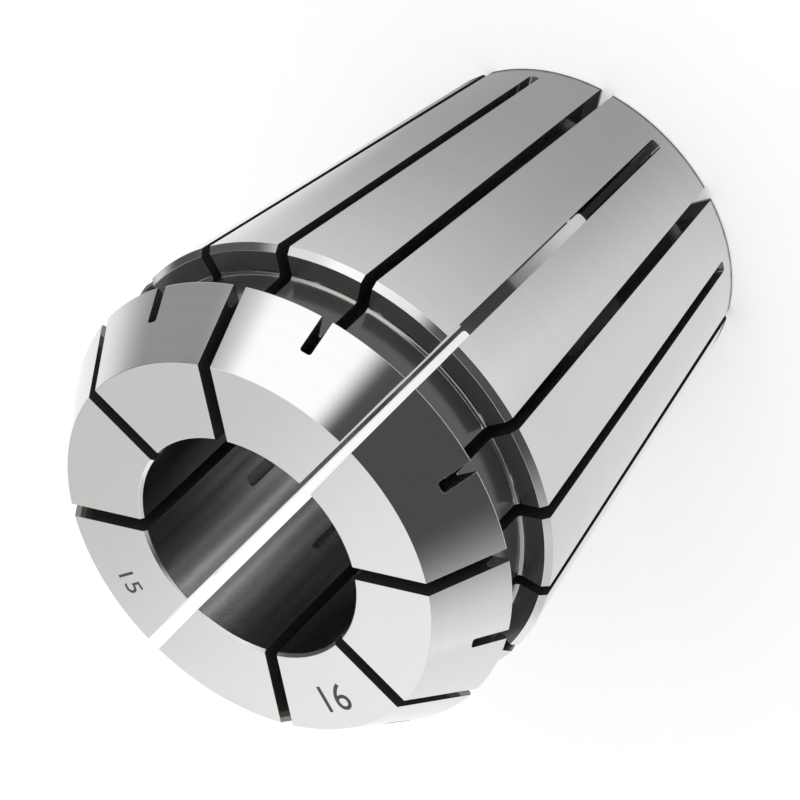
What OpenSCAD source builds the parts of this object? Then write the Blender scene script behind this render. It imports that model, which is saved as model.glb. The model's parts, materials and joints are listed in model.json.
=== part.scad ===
// Spring collet: one turned, slotted and ground piece of spring steel.
// It stands on its rear face, and Z runs along its axis up to the front face.

/* [Body] */
// Length from the rear face to the front face
overall_l = 40; // [34:0.5:55]
// Largest diameter of the body taper
body_d = 33; // [30:0.5:42]
// Half angle of the body taper, in degrees
body_angle = 8; // [5:0.5:9]
// Chamfer on the front edge of the body
body_chamfer = 0.4; // [0.1:0.05:0.8]
// Chamfer on the rear edge of the body
rear_chamfer = 0.3; // [0.1:0.05:1]

/* [Nose] */
// Largest diameter of the nose cone
nose_d = 33; // [29:0.5:40]
// Length of the nose cone along the axis
nose_l = 4.9; // [3:0.1:6]
// Half angle of the nose cone, in degrees
nose_angle = 30; // [20:1:35]
// Edge break behind the largest diameter of the nose
nose_edge = 0.15; // [0.05:0.05:0.5]

/* [Extraction groove] */
// Depth of the groove's floor below the nose or the body, whichever is slimmer
groove_depth = 2.1; // [1.5:0.1:3]
// Width of the groove between its two walls
groove_w = 4.35; // [2:0.05:6]
// Radius of the fillets at the groove's floor
groove_r = 0.35; // [0.1:0.05:0.6]

/* [Bore] */
// Diameter of the bore, which is the largest shank that it clamps
bore_d = 16; // [9:0.5:18]
// Chamfer at the front mouth of the bore
bore_front_chamfer = 0.2; // [0.1:0.05:0.8]
// Chamfer at the rear mouth of the bore
bore_rear_chamfer = 0.5; // [0.1:0.05:1]

/* [Slots] */
// Number of slots sawn from each end
slots_per_end = 8; // [3:1:8]
// Width of a front slot at the front face, where the spring stands open
front_slot_open_w = 0.95; // [0.6:0.05:1.3]
// Solid length left behind the front slots, at the outside
front_slot_bridge = 1.5; // [1:0.1:4]
// Width of a rear slot at the rear face
rear_slot_open_w = 0.95; // [0.6:0.05:1.3]
// Solid length left in front of the rear slots, at the outside
rear_slot_bridge = 2.7; // [1:0.1:4]

/* [Slitting saw] */
// Width of the saw, and so of each slot at its closed end
saw_w = 0.8; // [0.3:0.05:1.2]
// Diameter of the saw, which leaves each slot's closed end as an arc
saw_d = 50; // [40:1:80]
// How far the saw's rim passes through the wall into the bore
saw_overrun = 4; // [2:0.1:4.4]

/* [Hidden] */
$fn = 96;

// How far a cut runs past the surface that it opens
past = 1;

// Levels along the axis
nose_z = overall_l - nose_l;
groove_top_z = nose_z - nose_edge;
shoulder_z = groove_top_z - groove_w;
taper_top_z = shoulder_z - body_chamfer;

// Radii along the profile
face_r = nose_d / 2 - nose_l * tan(nose_angle);
outer_r = max(body_d, nose_d) / 2;
groove_floor_r = min(body_d, nose_d) / 2 - groove_depth;
bore_r = bore_d / 2;
function taper_r(z) = body_d / 2 - (taper_top_z - z) * tan(body_angle);
function nose_cone_r(z) = face_r + (overall_l - z) * tan(nose_angle);

// Saw: its rim stops inside the bore, and its centre lies outside the body
saw_r = saw_d / 2;
saw_reach = bore_r - saw_overrun;
saw_x = saw_reach + saw_r;
// Distance along the axis from the saw's centre to its rim, at radius r
function saw_rise(r) = sqrt(saw_r * saw_r - (saw_x - r) * (saw_x - r));

// Closed ends of the slots on the outer surface, and the saw's centre there
front_slot_z = front_slot_bridge;
front_saw_z = front_slot_z + saw_rise(taper_r(front_slot_z));
rear_slot_z = overall_l - rear_slot_bridge;
rear_saw_z = rear_slot_z - saw_rise(nose_cone_r(rear_slot_z));

// Outline of the turned blank before the groove and the bore are cut
module blank_section() {
    polygon([
        [0, 0],
        [taper_r(rear_chamfer) - rear_chamfer, 0],
        [taper_r(rear_chamfer), rear_chamfer],
        [body_d / 2, taper_top_z],
        [body_d / 2 - body_chamfer, shoulder_z],
        [nose_d / 2 - nose_edge, shoulder_z],
        [nose_d / 2 - nose_edge, groove_top_z],
        [nose_d / 2, nose_z],
        [face_r, overall_l],
        [0, overall_l]
    ]);
}

// Section of the extraction groove, with a fillet in each corner of its floor
module groove_section() {
    translate([groove_floor_r + groove_r, shoulder_z])
        square([outer_r, groove_w]);
    translate([groove_floor_r, shoulder_z + groove_r])
        square([outer_r, groove_w - 2 * groove_r]);
    for (z = [shoulder_z + groove_r, groove_top_z - groove_r])
        translate([groove_floor_r + groove_r, z])
            circle(r = groove_r, $fn = 24);
}

// Bore with a chamfer at each mouth
module bore() {
    translate([0, 0, -past])
        cylinder(h = overall_l + 2 * past, d = bore_d);
    translate([0, 0, -past])
        cylinder(
            h = bore_rear_chamfer + past,
            r1 = bore_r + bore_rear_chamfer + past,
            r2 = bore_r
        );
    translate([0, 0, overall_l - bore_front_chamfer])
        cylinder(
            h = bore_front_chamfer + past,
            r1 = bore_r,
            r2 = bore_r + bore_front_chamfer + past
        );
}

// Turned body of revolution with its groove and bore
module turned_body() {
    difference() {
        rotate_extrude() blank_section();
        rotate_extrude() groove_section();
        bore();
    }
}

// Side view of a saw cut along +X: the saw's disc and its travel up to the open end.
// side is 1 where the slot opens upwards and -1 where it opens downwards.
module saw_path(centre_z, open_z, side) {
    travel = abs(open_z - centre_z) + past;
    translate([saw_x, centre_z])
        circle(r = saw_r, $fn = 180);
    translate([saw_reach, side > 0 ? centre_z : centre_z - travel])
        square([saw_r, travel]);
}

// Front view of a slot: as wide as the saw at its closed end, wider at its open end
module slot_front(end_z, end_w, open_z, open_w) {
    polygon([
        [-end_w / 2, end_z],
        [end_w / 2, end_z],
        [open_w / 2, open_z],
        [-open_w / 2, open_z]
    ]);
}

// One slot along +X, where its side view and its front view meet
module slot(end_z, end_w, open_z, open_w, centre_z, side) {
    grow = (open_w - end_w) / abs(open_z - end_z);
    intersection() {
        translate([0, outer_r, 0])
            rotate([90, 0, 0])
                linear_extrude(2 * outer_r)
                    saw_path(centre_z, open_z, side);
        rotate([90, 0, 90])
            linear_extrude(outer_r + past)
                slot_front(
                    end_z - side * past,
                    end_w - grow * past,
                    open_z + side * past,
                    open_w + grow * past
                );
    }
}

// Slots sawn from the front face, ending just short of the rear face
module front_slots() {
    for (i = [0 : slots_per_end - 1])
        rotate(i * 360 / slots_per_end)
            slot(
                front_slot_z,
                saw_w,
                overall_l,
                front_slot_open_w,
                front_saw_z,
                1
            );
}

// Slots sawn from the rear face, halfway between the front ones, ending in the nose cone
module rear_slots() {
    for (i = [0 : slots_per_end - 1])
        rotate((i + 0.5) * 360 / slots_per_end)
            slot(
                rear_slot_z,
                saw_w,
                0,
                rear_slot_open_w,
                rear_saw_z,
                -1
            );
}

module collet() {
    color("silver")
        difference() {
            turned_body();
            front_slots();
            rear_slots();
        }
}

collet();
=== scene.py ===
# Looks of a spring collet: a finely turned and sawn mesh in polished steel, on a white studio floor.
# A length is in millimetres where its name ends in _MM or a comment says so, and otherwise in metres.
# Angles among the named values are in degrees.
import json
import math

import bpy
import numpy as np
from mathutils import Matrix, Vector


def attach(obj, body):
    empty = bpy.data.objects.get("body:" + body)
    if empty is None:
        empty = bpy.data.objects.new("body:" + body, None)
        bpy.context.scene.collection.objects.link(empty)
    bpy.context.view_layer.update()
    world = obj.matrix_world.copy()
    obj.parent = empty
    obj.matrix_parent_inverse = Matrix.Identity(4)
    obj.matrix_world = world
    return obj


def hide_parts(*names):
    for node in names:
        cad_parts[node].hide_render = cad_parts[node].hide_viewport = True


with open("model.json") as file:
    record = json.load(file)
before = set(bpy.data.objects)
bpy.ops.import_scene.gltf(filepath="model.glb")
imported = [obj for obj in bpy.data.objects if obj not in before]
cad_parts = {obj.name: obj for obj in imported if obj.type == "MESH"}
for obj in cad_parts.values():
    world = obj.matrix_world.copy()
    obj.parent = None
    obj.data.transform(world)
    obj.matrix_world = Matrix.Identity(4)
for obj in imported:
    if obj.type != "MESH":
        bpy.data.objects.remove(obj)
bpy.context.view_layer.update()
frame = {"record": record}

MM = 0.001
WHITE = (1, 1, 1, 1)

# Turned body, in millimetres
LENGTH = 40.0
BODY_D = 33.0
BODY_ANGLE = 8.0
BODY_CHAMFER = 0.4
REAR_CHAMFER = 0.3
NOSE_D = 33.0
NOSE_L = 4.9
NOSE_ANGLE = 30.0
NOSE_EDGE = 0.15
GROOVE_DEPTH = 2.1
GROOVE_W = 4.35
GROOVE_R = 0.35
BORE_D = 2 * frame["record"]["mounts"][0]["dims"]["r_mm"]
BORE_FRONT_CHAMFER = 0.2
BORE_REAR_CHAMFER = 0.5

# Radii of the edges after grinding and deburring, in millimetres
CRISP = 0.05
SOFT = 0.08
REAR_ROUND = 0.3

# Slots, the saw that cuts them and the radius of its worn corners, in millimetres
SLOTS_PER_END = 8
FRONT_OPEN_W = 0.95
FRONT_BRIDGE = 1.5
REAR_OPEN_W = 0.95
REAR_BRIDGE = 2.7
SAW_W = 0.8
SAW_D = 50.0
SAW_OVERRUN = 4.0
SAW_CORNER = 0.18

# Levels and radii that follow from them, and how far a cut runs past what it opens
NOSE_Z = LENGTH - NOSE_L
GROOVE_TOP_Z = NOSE_Z - NOSE_EDGE
SHOULDER_Z = GROOVE_TOP_Z - GROOVE_W
TAPER_TOP_Z = SHOULDER_Z - BODY_CHAMFER
FACE_R = NOSE_D / 2 - NOSE_L * math.tan(math.radians(NOSE_ANGLE))
GROOVE_FLOOR_R = min(BODY_D, NOSE_D) / 2 - GROOVE_DEPTH
BORE_R = BORE_D / 2
OUTER_R = max(BODY_D, NOSE_D) / 2
SAW_R = SAW_D / 2
SAW_REACH = BORE_R - SAW_OVERRUN
SAW_X = SAW_REACH + SAW_R
PAST = 1.0

# Steps round the axis, the angle of each step of a rounded corner, steps along the saw's rim,
# and the angles at which the steps of the saw's worn corner meet
TURN_STEPS = 480
CORNER_STEP = 12.0
SAW_STEPS = 64
SAW_CORNER_ANGLES = (0, 30, 60, 90)

# Sizes marked on the front face: number, azimuth, distance from the axis and height of the figures
# in millimetres, and how far they stand above the face and reach below it
MARKS = [("16", 247.0, 11.5, 2.0), ("15", 160.0, 11.5, 1.4)]
MARK_PROUD = 0.008
MARK_SUNK = 0.02
# Height of a figure of the built-in font, as a share of its size
FIGURE_SHARE = 0.7

# Surfaces of the mesh, in the order of its material slots
GROUND, SKIN, SAWN, BORE, FILLET = range(5)

# Noise rings in the steel: radius of the noise's path round the axis, and its changes per millimetre
# along the axis and across it
FINE_RINGS = (1.6, 7.0)
BROAD_RINGS = (0.9, 0.9)
# Clouds in the polish, per metre
CLOUD_SCALE = 160.0
# Part of a noise's range that is spread over the whole of a change
NOISE_RANGE = (0.3, 0.7)
# Dimmest tint of a finish, as a share of its colour
DIM_TINT = 0.975
BEVEL_SAMPLES = 4

# Etched figures: grain per metre, the part of its range that is used, its two tones and the roughness
MARK_GRAIN = 9000.0
MARK_RANGE = (0.35, 0.75)
MARK_DARK = (0.02, 0.02, 0.02, 1)
MARK_PALE = (0.08, 0.08, 0.078, 1)
MARK_ROUGHNESS = 0.6

# Floor: its colour, the length of its side, and the light of its own that lifts it to white
FLOOR_COLOUR = (0.62, 0.62, 0.62, 1)
FLOOR_SIZE = 6.0
FLOOR_LIFT = 0.43
# Painted shade under the bore: the lift grows from nothing to its whole over this stretch of X, and over
# this distance from the axis
PAINTED_SHADE_X_MM = (-10.5, -2.0)
PAINTED_SHADE_R_MM = (8.6, 12.0)

# Strength of the white light from all round
WORLD_LIGHT = 0.78

# Grid of a card
CARD_COLUMNS = 48
CARD_ROWS = 16

# Key lamp: its two sides, its power in watts, its direction, and its distance from the origin
KEY_SIZE = (0.5, 0.4)
KEY_POWER = 1.5
KEY_AZIMUTH = 25.0
KEY_ELEVATION = 56.0
KEY_DISTANCE = 0.7

# Camera of the photograph: what it aims at in millimetres, where it stands, and its roll
AIM_MM = (0.0, -0.074, 22.245)
CAMERA_AZIMUTH = -0.80
CAMERA_ELEVATION = 41.12
CAMERA_DISTANCE_MM = 331.31
CAMERA_ROLL = 134.42
LENS_MM = 230.21
SENSOR_MM = 36.0
CLIP_START = 0.01
CLIP_END = 20.0


def direction(azimuth, elevation):
    """Unit vector at an azimuth and an elevation in degrees."""
    azimuth, elevation = math.radians(azimuth), math.radians(elevation)
    return Vector((
        math.cos(elevation) * math.cos(azimuth),
        math.cos(elevation) * math.sin(azimuth),
        math.sin(elevation),
    ))


def add_object(name, data):
    """A new object of the scene that holds this mesh, text, lamp or camera."""
    made = bpy.data.objects.new(name, data)
    bpy.context.scene.collection.objects.link(made)
    return made


def mesh_object(name, vertices, faces, materials):
    """A mesh object from vertices in millimetres, faces and each face's material slot."""
    mesh = bpy.data.meshes.new(name)
    mesh.from_pydata([Vector(v) * MM for v in vertices], [], faces)
    mesh.polygons.foreach_set("material_index", materials)
    mesh.update()
    return add_object(name, mesh)


def evaluated_mesh(thing):
    """A copy of the mesh that an object shows, with its modifiers or its text worked out."""
    evaluated = thing.evaluated_get(bpy.context.evaluated_depsgraph_get())
    return bpy.data.meshes.new_from_object(evaluated)


def taper_r(z):
    """Radius of the body's taper at a level."""
    return BODY_D / 2 - (TAPER_TOP_Z - z) * math.tan(math.radians(BODY_ANGLE))


def nose_cone_r(z):
    """Radius of the nose cone at a level."""
    return FACE_R + (LENGTH - z) * math.tan(math.radians(NOSE_ANGLE))


def section_corners():
    """Corners of the turned section: radius, level, corner radius, and the surface that follows."""
    rear_r = taper_r(REAR_CHAMFER)
    nose_r = NOSE_D / 2
    return [
        (BORE_R + BORE_REAR_CHAMFER, 0.0, CRISP, GROUND),
        (rear_r - REAR_CHAMFER, 0.0, SOFT, GROUND),
        (rear_r, REAR_CHAMFER, REAR_ROUND, GROUND),
        (BODY_D / 2, TAPER_TOP_Z, CRISP, GROUND),
        (BODY_D / 2 - BODY_CHAMFER, SHOULDER_Z, CRISP, SKIN),
        (GROOVE_FLOOR_R, SHOULDER_Z, GROOVE_R, SKIN),
        (GROOVE_FLOOR_R, GROOVE_TOP_Z, GROOVE_R, SKIN),
        (nose_r - NOSE_EDGE, GROOVE_TOP_Z, CRISP, GROUND),
        (nose_r, NOSE_Z, CRISP, GROUND),
        (FACE_R, LENGTH, CRISP, GROUND),
        (BORE_R + BORE_FRONT_CHAMFER, LENGTH, CRISP, GROUND),
        (BORE_R, LENGTH - BORE_FRONT_CHAMFER, SOFT, BORE),
        (BORE_R, BORE_REAR_CHAMFER, SOFT, GROUND),
    ]


def corner_arc(before, corner, after, radius):
    """Points of the arc that rounds a corner of the section."""
    to_before = (before - corner).normalized()
    to_after = (after - corner).normalized()
    between = to_before.angle(to_after)
    middle = (to_before + to_after).normalized()
    centre = corner + middle * radius / math.sin(between / 2)
    start = corner + to_before * radius / math.tan(between / 2) - centre
    sweep = math.pi - between
    turn = math.copysign(sweep, to_after.cross(to_before))
    steps = max(2, math.ceil(math.degrees(sweep) / CORNER_STEP))
    return [centre + Matrix.Rotation(turn * k / steps, 2) @ start for k in range(steps + 1)]


def turned_section():
    """Rounded outline of the section as (radius, level) points, and the surface after each point."""
    corners = section_corners()
    points, surfaces = [], []
    for i, (r, z, radius, surface) in enumerate(corners):
        before = Vector(corners[i - 1][:2])
        after = Vector(corners[(i + 1) % len(corners)][:2])
        arc = corner_arc(before, Vector((r, z)), after, radius)
        points += arc
        round_surface = FILLET if radius == GROOVE_R else corners[i - 1][3]
        surfaces += [round_surface] * (len(arc) - 1) + [surface]
    return points, surfaces


def turned_blank():
    """The section turned once round the axis."""
    points, surfaces = turned_section()
    count = len(points)
    vertices, faces, materials = [], [], []
    for step in range(TURN_STEPS):
        angle = 2 * math.pi * (step + 0.5) / TURN_STEPS
        vertices += [(p.x * math.cos(angle), p.x * math.sin(angle), p.y) for p in points]
        ring = step * count
        following = (step + 1) % TURN_STEPS * count
        for k in range(count):
            up = (k + 1) % count
            faces.append((ring + k, following + k, following + up, ring + up))
            materials.append(surfaces[k])
    return mesh_object("collet_body", vertices, faces, materials)


def saw_rise(r):
    """How far the saw's rim lies from its centre along the axis, at a radius of the collet."""
    return math.sqrt(SAW_R * SAW_R - (SAW_X - r) ** 2)


def worn_corner():
    """Wear of the saw's rim and of its side, at each angle of its corner."""
    angles = [math.radians(angle) for angle in SAW_CORNER_ANGLES]
    return [(SAW_CORNER * (1 - math.sin(a)), SAW_CORNER * (1 - math.cos(a))) for a in angles]


def cut_layer(side, centre_z, open_z, wear):
    """Side view of one layer of a saw cut: the rim's arc, then the way out to the open end."""
    rim = SAW_R - wear
    out_r = OUTER_R + PAST
    last = math.acos((SAW_X - out_r) / rim)
    arc = []
    for k in range(SAW_STEPS + 1):
        angle = last * (1 - k / SAW_STEPS)
        arc.append((SAW_X - rim * math.cos(angle), centre_z - side * rim * math.sin(angle)))
    open_end = open_z + side * PAST
    return arc + [(SAW_X - rim, open_end), (out_r, open_end)]


def layer_faces(layers, count):
    """Faces that join layers of count points each, and that close the first and the last."""
    faces = []
    for layer in range(layers - 1):
        for k in range(count):
            a, b = layer * count + k, layer * count + (k + 1) % count
            faces.append((a, b, b + count, a + count))
    faces.append(tuple(reversed(range(count))))
    faces.append(tuple(range((layers - 1) * count, layers * count)))
    return faces


def saw_cut(angle, end_z, open_z, open_w, centre_z, side):
    """Vertices and faces of one slot, turned by an angle in radians.

    It is made of layers across its width, and side is 1 where it opens upwards and -1 downwards.
    """
    grow = (open_w - SAW_W) / abs(open_z - end_z)
    worn = worn_corner()
    layers = [(-1, wear, inset) for wear, inset in worn]
    layers += [(1, wear, inset) for wear, inset in reversed(worn)]
    vertices = []
    for hand, wear, inset in layers:
        for r, z in cut_layer(side, centre_z, open_z, wear):
            half = (SAW_W + grow * side * (z - end_z)) / 2
            vertices.append((r, hand * (half - inset), z))
    faces = layer_faces(len(layers), len(vertices) // len(layers))
    if side < 0:
        faces = [tuple(reversed(face)) for face in faces]
    turn = Matrix.Rotation(angle, 3, "Z")
    return [turn @ Vector(v) for v in vertices], faces


def saw_cuts():
    """All sixteen slots as one mesh to cut away."""
    front_centre = FRONT_BRIDGE + saw_rise(taper_r(FRONT_BRIDGE))
    rear_z = LENGTH - REAR_BRIDGE
    rear_centre = rear_z - saw_rise(nose_cone_r(rear_z))
    vertices, faces = [], []
    for i in range(2 * SLOTS_PER_END):
        angle = math.pi * i / SLOTS_PER_END
        if i % 2 == 0:
            cut = saw_cut(angle, FRONT_BRIDGE, LENGTH, FRONT_OPEN_W, front_centre, 1)
        else:
            cut = saw_cut(angle, rear_z, 0.0, REAR_OPEN_W, rear_centre, -1)
        first = len(vertices)
        vertices += cut[0]
        faces += [tuple(first + k for k in face) for face in cut[1]]
    return mesh_object("saw_cuts", vertices, faces, [SAWN] * len(faces))


def saw(body):
    """Cuts the slots out of the turned body, and removes the cutters."""
    cuts = saw_cuts()
    cut = body.modifiers.new("slots", "BOOLEAN")
    cut.operation = "DIFFERENCE"
    cut.solver = "EXACT"
    cut.object = cuts
    mesh = evaluated_mesh(body)
    body.modifiers.clear()
    body.data = mesh
    bpy.data.objects.remove(cuts)


def read_all(items, attribute, kind=float, width=1):
    """An attribute of all vertices, faces or loops of a mesh, as an array with a row for each."""
    values = np.empty(len(items) * width, kind)
    items.foreach_get(attribute, values)
    return values.reshape(-1, width) if width > 1 else values


def face_of_loops(mesh):
    """The face that each loop belongs to."""
    total = read_all(mesh.polygons, "loop_total", int)
    start = read_all(mesh.polygons, "loop_start", int)
    loops = np.concatenate([np.arange(s, s + t) for s, t in zip(start, total)])
    face = np.empty(len(mesh.loops), int)
    face[loops] = np.repeat(np.arange(len(total)), total)
    return face


def set_turned_normals(mesh):
    """Gives each corner of a turned face the normal of the true cone, ring or bore there."""
    normal = read_all(mesh.polygons, "normal", width=3)
    centre = read_all(mesh.polygons, "center", width=3)
    surface = read_all(mesh.polygons, "material_index", int)
    place = read_all(mesh.vertices, "co", width=3)
    face = face_of_loops(mesh)
    outward = np.hypot(normal[:, 0], normal[:, 1])
    outward *= np.sign((normal[:, :2] * centre[:, :2]).sum(1))
    at = place[read_all(mesh.loops, "vertex_index", int)]
    radial = at[:, :2] / np.hypot(at[:, 0], at[:, 1])[:, None]
    turned = np.column_stack([radial * outward[face][:, None], normal[face][:, 2]])
    chosen = np.where((surface[face] == SAWN)[:, None], normal[face], turned)
    mesh.polygons.foreach_set("use_smooth", np.ones(len(normal), bool))
    mesh.normals_split_custom_set(chosen.tolist())


class Nodes:
    """Short calls to build the nodes of a material or of the world."""

    def __init__(self, owner, output="ShaderNodeOutputMaterial"):
        owner.use_nodes = True
        self.owner = owner
        self.output = output
        self.tree = owner.node_tree
        self.tree.nodes.clear()

    def add(self, kind, settings=None, **inputs):
        """A node with its settings and inputs.

        An input goes by its label, with _ for a space, or by _ and its number. It is a value,
        or the output of another node.
        """
        node = self.tree.nodes.new(kind)
        for key, value in (settings or {}).items():
            setattr(node, key, value)
        for key, value in inputs.items():
            by_number = key[1:].isdigit()
            socket = node.inputs[int(key[1:]) if by_number else key.replace("_", " ")]
            if isinstance(value, bpy.types.NodeSocket):
                self.tree.links.new(value, socket)
            else:
                socket.default_value = value
        return node

    def math(self, operation, a, b=0.0):
        """Output of a sum, product or other operation on two values."""
        return self.add("ShaderNodeMath", {"operation": operation}, _0=a, _1=b).outputs[0]

    def remap(self, value, low, high, to_low, to_high):
        """Output of a clamped change of range."""
        return self.add(
            "ShaderNodeMapRange", {"clamp": True}, Value=value,
            _1=low, _2=high, _3=to_low, _4=to_high
        ).outputs[0]

    def finish(self, shader):
        """Links the shader to the output, and hands back the material or the world."""
        output = self.add(self.output, _0=shader)
        output.is_active_output = True
        return self.owner


def material_nodes(name):
    """The nodes of a new material."""
    return Nodes(bpy.data.materials.new(name))


def axis_place(nodes):
    """X, Y and Z on the object in metres, and the distance from its axis."""
    place = nodes.add("ShaderNodeTexCoord").outputs["Object"]
    x, y, z = nodes.add("ShaderNodeSeparateXYZ", _0=place).outputs
    squares = nodes.math("ADD", nodes.math("MULTIPLY", x, x), nodes.math("MULTIPLY", y, y))
    return x, y, z, nodes.math("SQRT", squares)


def lathe_noise(nodes, around, per_mm):
    """Noise in rings, as turned steel has: slow round the axis, and quick along it and across it."""
    x, y, z, radius = axis_place(nodes)
    along = per_mm / MM
    vector = nodes.add(
        "ShaderNodeCombineXYZ",
        _0=nodes.math("MULTIPLY", nodes.math("DIVIDE", x, radius), around),
        _1=nodes.math("MULTIPLY", nodes.math("DIVIDE", y, radius), around),
        _2=nodes.math("MULTIPLY", z, along),
    ).outputs[0]
    return nodes.add(
        "ShaderNodeTexNoise", {"noise_dimensions": "4D"}, Vector=vector,
        W=nodes.math("MULTIPLY", radius, along), Scale=1.0, Detail=3.0
    ).outputs[0]


def steel(name, colour, roughness, spread, ring_height_mm, edge_mm, metallic=1.0):
    """Ground or sawn steel: rings from the wheel, uneven polish, and lightly broken edges."""
    nodes = material_nodes(name)
    place = nodes.add("ShaderNodeTexCoord").outputs["Object"]
    fine = lathe_noise(nodes, *FINE_RINGS)
    broad = lathe_noise(nodes, *BROAD_RINGS)
    cloud = nodes.add("ShaderNodeTexNoise", Vector=place, Scale=CLOUD_SCALE, Detail=4.0).outputs[0]
    polish = nodes.math("MULTIPLY", nodes.math("ADD", fine, cloud), 0.5)
    rough = nodes.remap(polish, *NOISE_RANGE, roughness - spread, roughness + spread)
    tint = nodes.add(
        "ShaderNodeMix", {"data_type": "RGBA"}, Factor=nodes.remap(broad, *NOISE_RANGE, 0.0, 1.0),
        _6=(*[c * DIM_TINT for c in colour], 1), _7=(*colour, 1)
    ).outputs[2]
    edge = nodes.add("ShaderNodeBevel", {"samples": BEVEL_SAMPLES}, Radius=edge_mm * MM).outputs[0]
    rings = nodes.add(
        "ShaderNodeBump", Strength=1.0, Distance=ring_height_mm * MM, Height=fine, Normal=edge
    ).outputs[0]
    shader = nodes.add(
        "ShaderNodeBsdfPrincipled", Base_Color=tint, Metallic=metallic, Roughness=rough, Normal=rings
    )
    return nodes.finish(shader.outputs[0])


def object_materials():
    """The finishes, in the order of the surface numbers."""
    return [
        steel(
            "polished_steel", (0.72, 0.72, 0.71), roughness=0.10, spread=0.02,
            ring_height_mm=0.00015, edge_mm=0.025
        ),
        steel(
            "groove_skin", (0.105, 0.102, 0.098), roughness=0.19, spread=0.05,
            ring_height_mm=0.0005, edge_mm=0.05, metallic=0.5
        ),
        steel(
            "sawn_wall", (0.21, 0.20, 0.19), roughness=0.08, spread=0.02,
            ring_height_mm=0.00003, edge_mm=0.03, metallic=0.88
        ),
        steel(
            "honed_bore", (0.74, 0.74, 0.73), roughness=0.18, spread=0.012,
            ring_height_mm=0.00003, edge_mm=0.04
        ),
        steel(
            "groove_fillet", (0.40, 0.39, 0.38), roughness=0.14, spread=0.03,
            ring_height_mm=0.0003, edge_mm=0.05
        ),
    ]


def etched_mark():
    """Dark etched figures with an uneven depth of tone."""
    nodes = material_nodes("etched_mark")
    place = nodes.add("ShaderNodeTexCoord").outputs["Object"]
    grain = nodes.add("ShaderNodeTexNoise", Vector=place, Scale=MARK_GRAIN, Detail=3.0).outputs[0]
    tone = nodes.add("ShaderNodeValToRGB", _0=grain)
    low, high = tone.color_ramp.elements
    low.position, high.position = MARK_RANGE
    low.color, high.color = MARK_DARK, MARK_PALE
    shader = nodes.add(
        "ShaderNodeBsdfPrincipled", Base_Color=tone.outputs[0], Roughness=MARK_ROUGHNESS
    )
    return nodes.finish(shader.outputs[0])


def build_collet():
    """The fine mesh that stands for the solid, with its finishes."""
    body = turned_blank()
    for material in object_materials():
        body.data.materials.append(material)
    saw(body)
    set_turned_normals(body.data)
    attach(body, "root")
    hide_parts("collet")


def figures_mesh(name, number, height_mm):
    """The figures of a number as a thin solid, flat and centred on the origin."""
    curve = bpy.data.curves.new(name, "FONT")
    curve.body = number
    curve.align_x = "CENTER"
    curve.align_y = "CENTER"
    curve.size = height_mm / FIGURE_SHARE * MM
    curve.extrude = (MARK_PROUD + MARK_SUNK) / 2 * MM
    text = add_object(name, curve)
    mesh = evaluated_mesh(text)
    bpy.data.objects.remove(text)
    return mesh


def build_mark(number, azimuth, radius_mm, height_mm, material):
    """A plain number on the front face, with the tops of its figures towards the bore."""
    name = "size_mark_" + number
    mesh = figures_mesh(name, number, height_mm)
    outward = direction(azimuth, 0.0)
    face = Vector((0, 0, 1))
    turn = Matrix(((-outward).cross(face), -outward, face)).transposed()
    middle = outward * radius_mm + face * (LENGTH + (MARK_PROUD - MARK_SUNK) / 2)
    mesh.transform(Matrix.Translation(middle * MM) @ turn.to_4x4())
    mesh.materials.clear()
    mesh.materials.append(material)
    mark = add_object(name, mesh)
    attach(mark, "root")


def build_marks():
    """The two numbers on the front face."""
    material = etched_mark()
    for number, azimuth, radius_mm, height_mm in MARKS:
        build_mark(number, azimuth, radius_mm, height_mm, material)


def seen_share(nodes):
    """1 for rays from the camera, a reflection or a view through, and 0 for others."""
    path = nodes.add("ShaderNodeLightPath")
    direct = nodes.math("MAXIMUM", path.outputs["Is Camera Ray"], path.outputs["Is Glossy Ray"])
    return nodes.math("MAXIMUM", direct, path.outputs["Is Transmission Ray"])


def lift_share_with_painted_shade(nodes):
    """Share of the floor's lift, which paints shade in the bore's shadow: it thins out towards -X under
    the bore, and all of it is there outside.
    """
    x, _, _, radius = axis_place(nodes)
    inside = nodes.remap(x, PAINTED_SHADE_X_MM[0] * MM, PAINTED_SHADE_X_MM[1] * MM, 0.0, 1.0)
    outside = nodes.remap(radius, PAINTED_SHADE_R_MM[0] * MM, PAINTED_SHADE_R_MM[1] * MM, 0.0, 1.0)
    return nodes.math("MAXIMUM", inside, outside)


def build_floor():
    """A pale floor: its own colour takes the shadow, and a little lift brings it up to white, except
    under the bore, where less lift paints shade.
    """
    nodes = material_nodes("studio_floor")
    paint = nodes.add("ShaderNodeBsdfDiffuse", Color=FLOOR_COLOUR)
    share = nodes.math("MULTIPLY", seen_share(nodes), lift_share_with_painted_shade(nodes))
    lift = nodes.add("ShaderNodeEmission", Strength=nodes.math("MULTIPLY", share, FLOOR_LIFT))
    shader = nodes.add("ShaderNodeAddShader", _0=paint.outputs[0], _1=lift.outputs[0])
    half = FLOOR_SIZE / 2 / MM
    corners = [(-half, -half, 0), (half, -half, 0), (half, half, 0), (-half, half, 0)]
    floor = mesh_object("studio_floor", corners, [(0, 1, 2, 3)], [0])
    floor.data.materials.append(nodes.finish(shader.outputs[0]))


def build_world():
    """Even white light from all round, and a white background."""
    world = bpy.data.worlds.new("studio")
    bpy.context.scene.world = world
    nodes = Nodes(world, "ShaderNodeOutputWorld")
    light = nodes.add("ShaderNodeBackground", Color=WHITE, Strength=WORLD_LIGHT)
    seen = nodes.add("ShaderNodeBackground", Color=WHITE, Strength=1.0)
    mix = nodes.add(
        "ShaderNodeMixShader", _0=seen_share(nodes), _1=light.outputs[0], _2=seen.outputs[0]
    )
    nodes.finish(mix.outputs[0])


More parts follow.
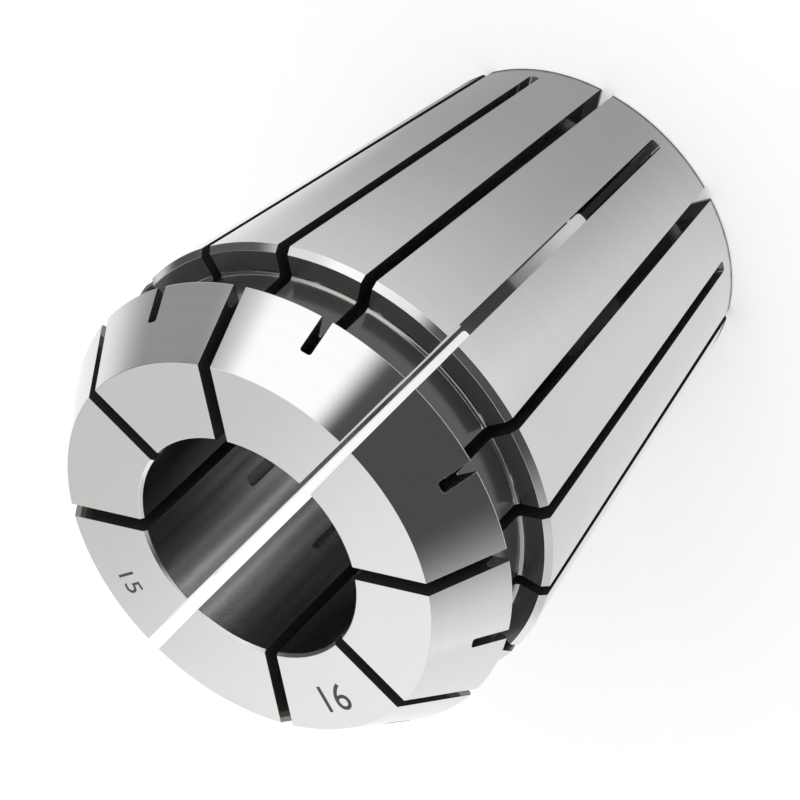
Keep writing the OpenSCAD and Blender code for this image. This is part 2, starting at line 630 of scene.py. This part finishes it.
def card_mesh(name, firsts, extents, place):
    """A grid of faces for a card, mapped by how far each point is from the card's start."""
    wide, high = extents
    vertices, faces = [], []
    for row in range(CARD_ROWS + 1):
        for column in range(CARD_COLUMNS + 1):
            along = firsts[0] + wide * column / CARD_COLUMNS
            up = firsts[1] + high * row / CARD_ROWS
            vertices.append(place(along, up))
    for row in range(CARD_ROWS):
        for column in range(CARD_COLUMNS):
            a = row * (CARD_COLUMNS + 1) + column
            b = a + CARD_COLUMNS + 1
            faces.append((a, a + 1, b + 1, b))
    card = mesh_object(name, vertices, faces, [0] * len(faces))
    card_map = card.data.uv_layers.new(name="card")
    for loop in card.data.loops:
        row, column = divmod(loop.vertex_index, CARD_COLUMNS + 1)
        card_map.data[loop.index].uv = (wide * column / CARD_COLUMNS, high * row / CARD_ROWS)
    return card


def soft_cover(nodes, extents, fades):
    """How solid a card is: 1 in its middle, down to 0 at its edges."""
    place = nodes.add("ShaderNodeTexCoord").outputs["UV"]
    u, v, _ = nodes.add("ShaderNodeSeparateXYZ", _0=place).outputs
    cover = 1.0
    for along, extent, first, last in ((u, extents[0], *fades[:2]), (v, extents[1], *fades[2:])):
        for inside, fade in ((along, first), (nodes.math("SUBTRACT", extent, along), last)):
            edge = nodes.add(
                "ShaderNodeMapRange", {"interpolation_type": "SMOOTHSTEP"}, Value=inside, _2=fade
            ).outputs[0]
            cover = nodes.math("MULTIPLY", cover, edge)
    return cover


def build_card(name, firsts, lasts, place, tone, fades):
    """A card that only reflections see, with soft edges.

    It runs from firsts to lasts in two measures, and place turns a pair of them into a point.
    The card's tone is its brightness, and fades are the stretches over which it thins out,
    at the start and end of its first measure and then of its second.
    """
    extents = (lasts[0] - firsts[0], lasts[1] - firsts[1])
    card = card_mesh(name, firsts, extents, place)
    nodes = material_nodes(name)
    shine = nodes.add("ShaderNodeEmission", Strength=tone)
    clear = nodes.add("ShaderNodeBsdfTransparent")
    shader = nodes.add(
        "ShaderNodeMixShader", _0=soft_cover(nodes, extents, fades),
        _1=clear.outputs[0], _2=shine.outputs[0]
    )
    card.data.materials.append(nodes.finish(shader.outputs[0]))
    card.visible_camera = False
    card.visible_diffuse = False
    card.visible_shadow = False
    card.visible_transmission = False


def round_card(name, azimuths, elevations, distance_mm, tone, fades):
    """A curved card round the object, between two azimuths and two elevations."""
    build_card(
        name, (azimuths[0], elevations[0]), (azimuths[1], elevations[1]),
        lambda azimuth, elevation: direction(azimuth, elevation) * distance_mm,
        tone, fades
    )


def floor_card(name, azimuths, radii_mm, lift_mm, tone, fades):
    """A card just above the floor, between two azimuths and two distances from the axis."""
    lift = Vector((0, 0, lift_mm))
    build_card(
        name, (azimuths[0], radii_mm[0]), (azimuths[1], radii_mm[1]),
        lambda azimuth, radius: direction(azimuth, 0.0) * radius + lift,
        tone, fades
    )


def build_cards():
    """What the polished steel shows: a dark flag on the camera's side, brighter and dimmer cards, and
    painted shade and a painted glow on the floor.
    """
    round_card("dark_flag", (-110, 23.4), (-2, 56), distance_mm=520, tone=0.09, fades=(58, 14, 1, 6))
    round_card("front_softbox", (9, 72), (0, 50), distance_mm=530, tone=1.38, fades=(2, 12, 1, 8))
    round_card("upper_flag", (74, 140), (27, 60), distance_mm=98, tone=0.12, fades=(14, 14, 4, 8))
    round_card("far_flag", (128, 168), (10, 46), distance_mm=96, tone=0.10, fades=(5, 10, 3, 8))
    round_card("mid_flag", (103, 138), (19, 46), distance_mm=97, tone=0.10, fades=(8, 4, 4, 8))
    round_card("low_grey", (58, 136), (0, 40), distance_mm=100, tone=0.38, fades=(24, 30, 1, 8))
    round_card("side_grey", (100, 181), (24, 58), distance_mm=480, tone=0.77, fades=(10, 5, 8, 8))
    round_card("rim_grey", (231, 276), (7, 48), distance_mm=490, tone=0.76, fades=(10, 14, 4, 8))
    round_card("side_softbox", (179, 262), (-2, 60), distance_mm=500, tone=1.13, fades=(5, 20, 1, 10))
    # Cards on the floor that only reflections see: the first two are painted shade of the floor round
    # the collet, the next two painted shadow under its rear edge and under the bore, and the last a
    # painted glow in the bore.
    floor_card("painted_floor_shade", (-150, -20), (9, 64), lift_mm=0.1, tone=0.86, fades=(24, 22, 1, 30))
    floor_card("painted_floor_shadow", (-55, 130), (9, 52), lift_mm=0.2, tone=0.44, fades=(67, 40, 1, 38))
    floor_card(
        "contact_shade", (0, 360), (8.4, 12.55), lift_mm=0.25, tone=0.05, fades=(0.1, 0.1, 0.1, 0.25)
    )
    floor_card("bore_shadow", (124, 424), (0.2, 8.2), lift_mm=0.2, tone=0.06, fades=(0.1, 0.1, 0.1, 1))
    floor_card("bore_glow", (64, 124), (0.2, 8.2), lift_mm=0.2, tone=0.44, fades=(0.1, 0.1, 0.1, 1))


def build_key():
    """A large soft lamp over the camera's side, which gives the light its direction."""
    data = bpy.data.lights.new("key", "AREA")
    data.shape = "RECTANGLE"
    data.size, data.size_y = KEY_SIZE
    data.energy = KEY_POWER
    lamp = add_object("key", data)
    lamp.location = direction(KEY_AZIMUTH, KEY_ELEVATION) * KEY_DISTANCE
    lamp.rotation_euler = (-lamp.location).to_track_quat("-Z", "Y").to_euler()
    lamp.visible_glossy = False


def build_camera():
    """The photograph's camera: its direction, distance, roll and lens."""
    back = direction(CAMERA_AZIMUTH, CAMERA_ELEVATION)
    level = (-back).cross(Vector((0, 0, 1))).normalized()
    upright = level.cross(-back)
    roll = math.radians(CAMERA_ROLL)
    up = upright * math.cos(roll) + level * math.sin(roll)
    right = (-back).cross(up)
    data = bpy.data.cameras.new("camera")
    data.lens = LENS_MM
    data.sensor_width = SENSOR_MM
    data.clip_start = CLIP_START
    data.clip_end = CLIP_END
    camera = add_object("camera", data)
    turn = Matrix((right, up, back)).transposed()
    place = Vector(AIM_MM) * MM + back * CAMERA_DISTANCE_MM * MM
    camera.matrix_world = Matrix.Translation(place) @ turn.to_4x4()
    bpy.context.scene.camera = camera


build_collet()
build_marks()
build_floor()
build_world()
build_cards()
build_key()
build_camera()
bpy.context.scene.view_settings.view_transform = "Standard"
